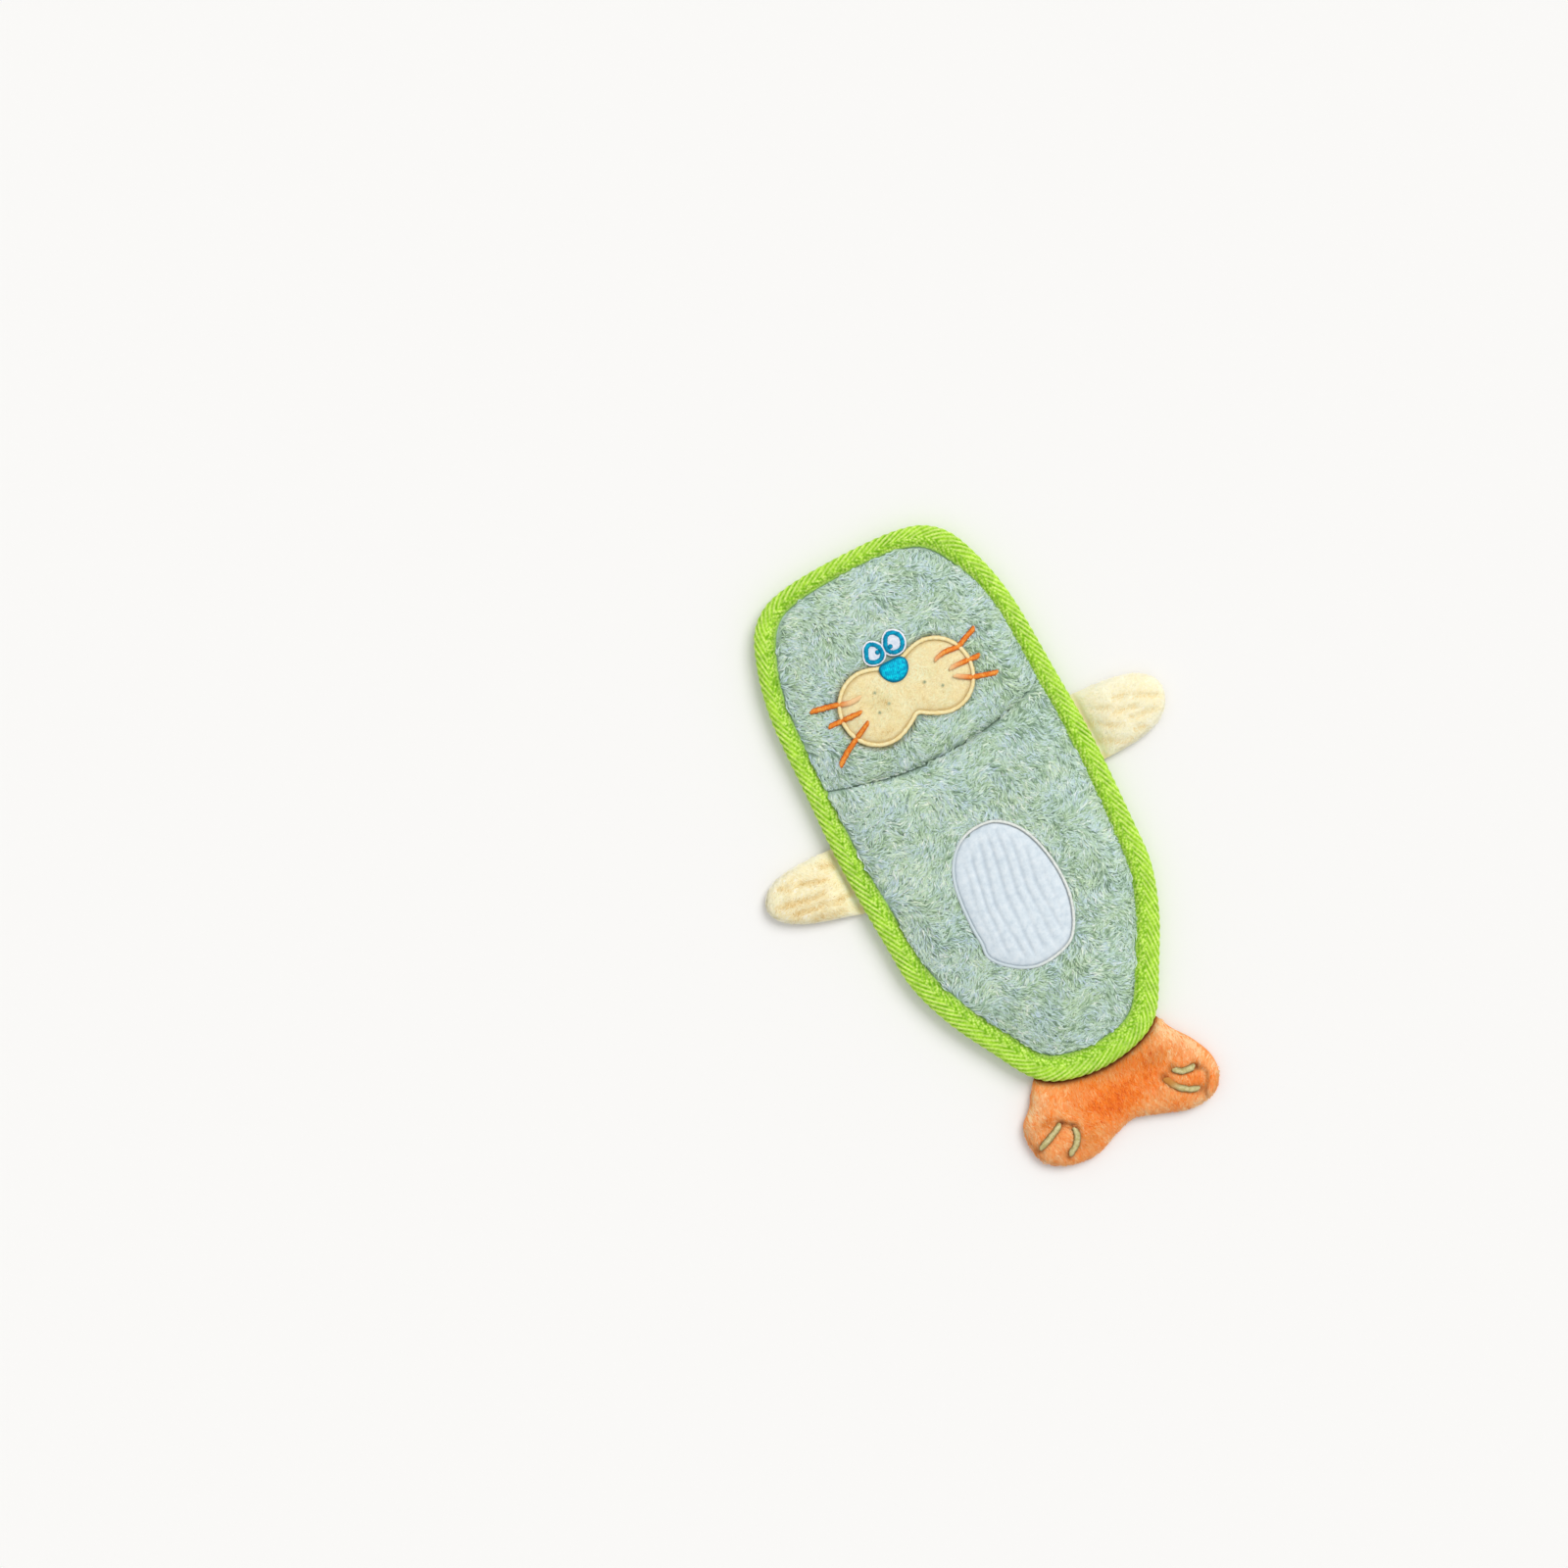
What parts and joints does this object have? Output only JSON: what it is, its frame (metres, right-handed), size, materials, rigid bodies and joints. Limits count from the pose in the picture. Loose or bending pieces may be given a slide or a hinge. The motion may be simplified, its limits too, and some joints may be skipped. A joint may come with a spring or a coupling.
{
  "type": "plush dog toy",
  "caption": "Flat stuffed sea animal toy for a dog, with a bound head and belly that fold at a seam, two flippers and a lobed tail.",
  "frame": {"origin": "under the middle of the toy's outline, on the surface that its back lies on", "axes": "+Z out of the face, +Y from the tail to the top of the head, +X to the right of the picture"},
  "size_m": [0.194, 0.278, 0.0171],
  "materials": {
    "pad_plush": "short marled blue-green plush",
    "binding_tape": "matt green twill tape",
    "muzzle_plush": "short pale yellow plush",
    "muzzle_satin": "cream satin stitch",
    "blue_satin": "glossy blue satin stitch",
    "nose_satin": "glossy light blue satin stitch",
    "eye_ground": "white fill stitch",
    "orange_satin": "glossy orange satin stitch",
    "dot_thread": "grey-green thread",
    "patch_cloth": "pale ribbed fleece",
    "patch_satin": "off-white satin stitch",
    "flipper_plush": "cream ribbed plush",
    "tail_plush": "orange plush",
    "toe_thread": "olive satin stitch",
    "fibre_filling": "loose white fibre",
    "crinkle_film": "clear rustling film",
    "squeaker_plastic": "smooth white",
    "reed_plastic": "matt ivory"
  },
  "bodies": {
    "belly": {"front_belly_panel": "pad_plush", "back_belly_panel": "pad_plush", "belly_binding": "binding_tape", "belly_crinkle_sheet": "crinkle_film", "belly_filling": "fibre_filling", "squeaker_shell": "squeaker_plastic", "squeaker_reed": "reed_plastic", "belly_patch": "patch_cloth", "belly_patch_border": "patch_satin", "left_flipper_tab": "flipper_plush", "right_flipper_tab": "flipper_plush", "tail_tab": "tail_plush"},
    "head": {"front_head_panel": "pad_plush", "back_head_panel": "pad_plush", "head_binding": "binding_tape", "head_crinkle_sheet": "crinkle_film", "head_filling": "fibre_filling", "muzzle_patch": "muzzle_plush", "muzzle_border": "muzzle_satin", "nose": "nose_satin", "left_eye_white": "eye_ground", "left_eye_ring": "blue_satin", "left_pupil": "blue_satin", "left_upper_whisker": "orange_satin", "left_middle_whisker": "orange_satin", "left_lower_whisker": "orange_satin", "right_eye_white": "eye_ground", "right_eye_ring": "blue_satin", "right_pupil": "blue_satin", "right_upper_whisker": "orange_satin", "right_middle_whisker": "orange_satin", "right_lower_whisker": "orange_satin", "left_upper_dot": "dot_thread", "left_lower_dot": "dot_thread", "left_inner_dot": "dot_thread", "right_inner_dot": "dot_thread", "right_lower_dot": "dot_thread"},
    "left_flipper": {"left_flipper_front": "flipper_plush", "left_flipper_back": "flipper_plush", "left_flipper_filling": "fibre_filling"},
    "right_flipper": {"right_flipper_front": "flipper_plush", "right_flipper_back": "flipper_plush", "right_flipper_filling": "fibre_filling"},
    "tail": {"tail_front": "tail_plush", "tail_back": "tail_plush", "tail_filling": "fibre_filling", "left_outer_toe": "toe_thread", "left_inner_toe": "toe_thread", "right_outer_toe": "toe_thread", "right_inner_toe": "toe_thread"}
  },
  "joints": [
    {"name": "head_fold", "type": "hinge", "parent": "belly", "child": "head", "pos_m": [0, 0.0482, 0.006], "axis": [1, 0, 0], "range_deg": [-80, 80]},
    {"name": "left_flipper_fold", "type": "hinge", "parent": "belly", "child": "left_flipper", "pos_m": [-0.06095, 0.01474, 0.00235], "axis": [0, 1, 0], "range_deg": [-80, 60]},
    {"name": "right_flipper_fold", "type": "hinge", "parent": "belly", "child": "right_flipper", "pos_m": [0.06095, 0.02549, 0.00235], "axis": [0, -1, 0], "range_deg": [-80, 60]},
    {"name": "tail_fold", "type": "hinge", "parent": "belly", "child": "tail", "pos_m": [0, -0.10645, 0.00235], "axis": [-1, 0, 0], "range_deg": [-80, 60]}
  ]
}
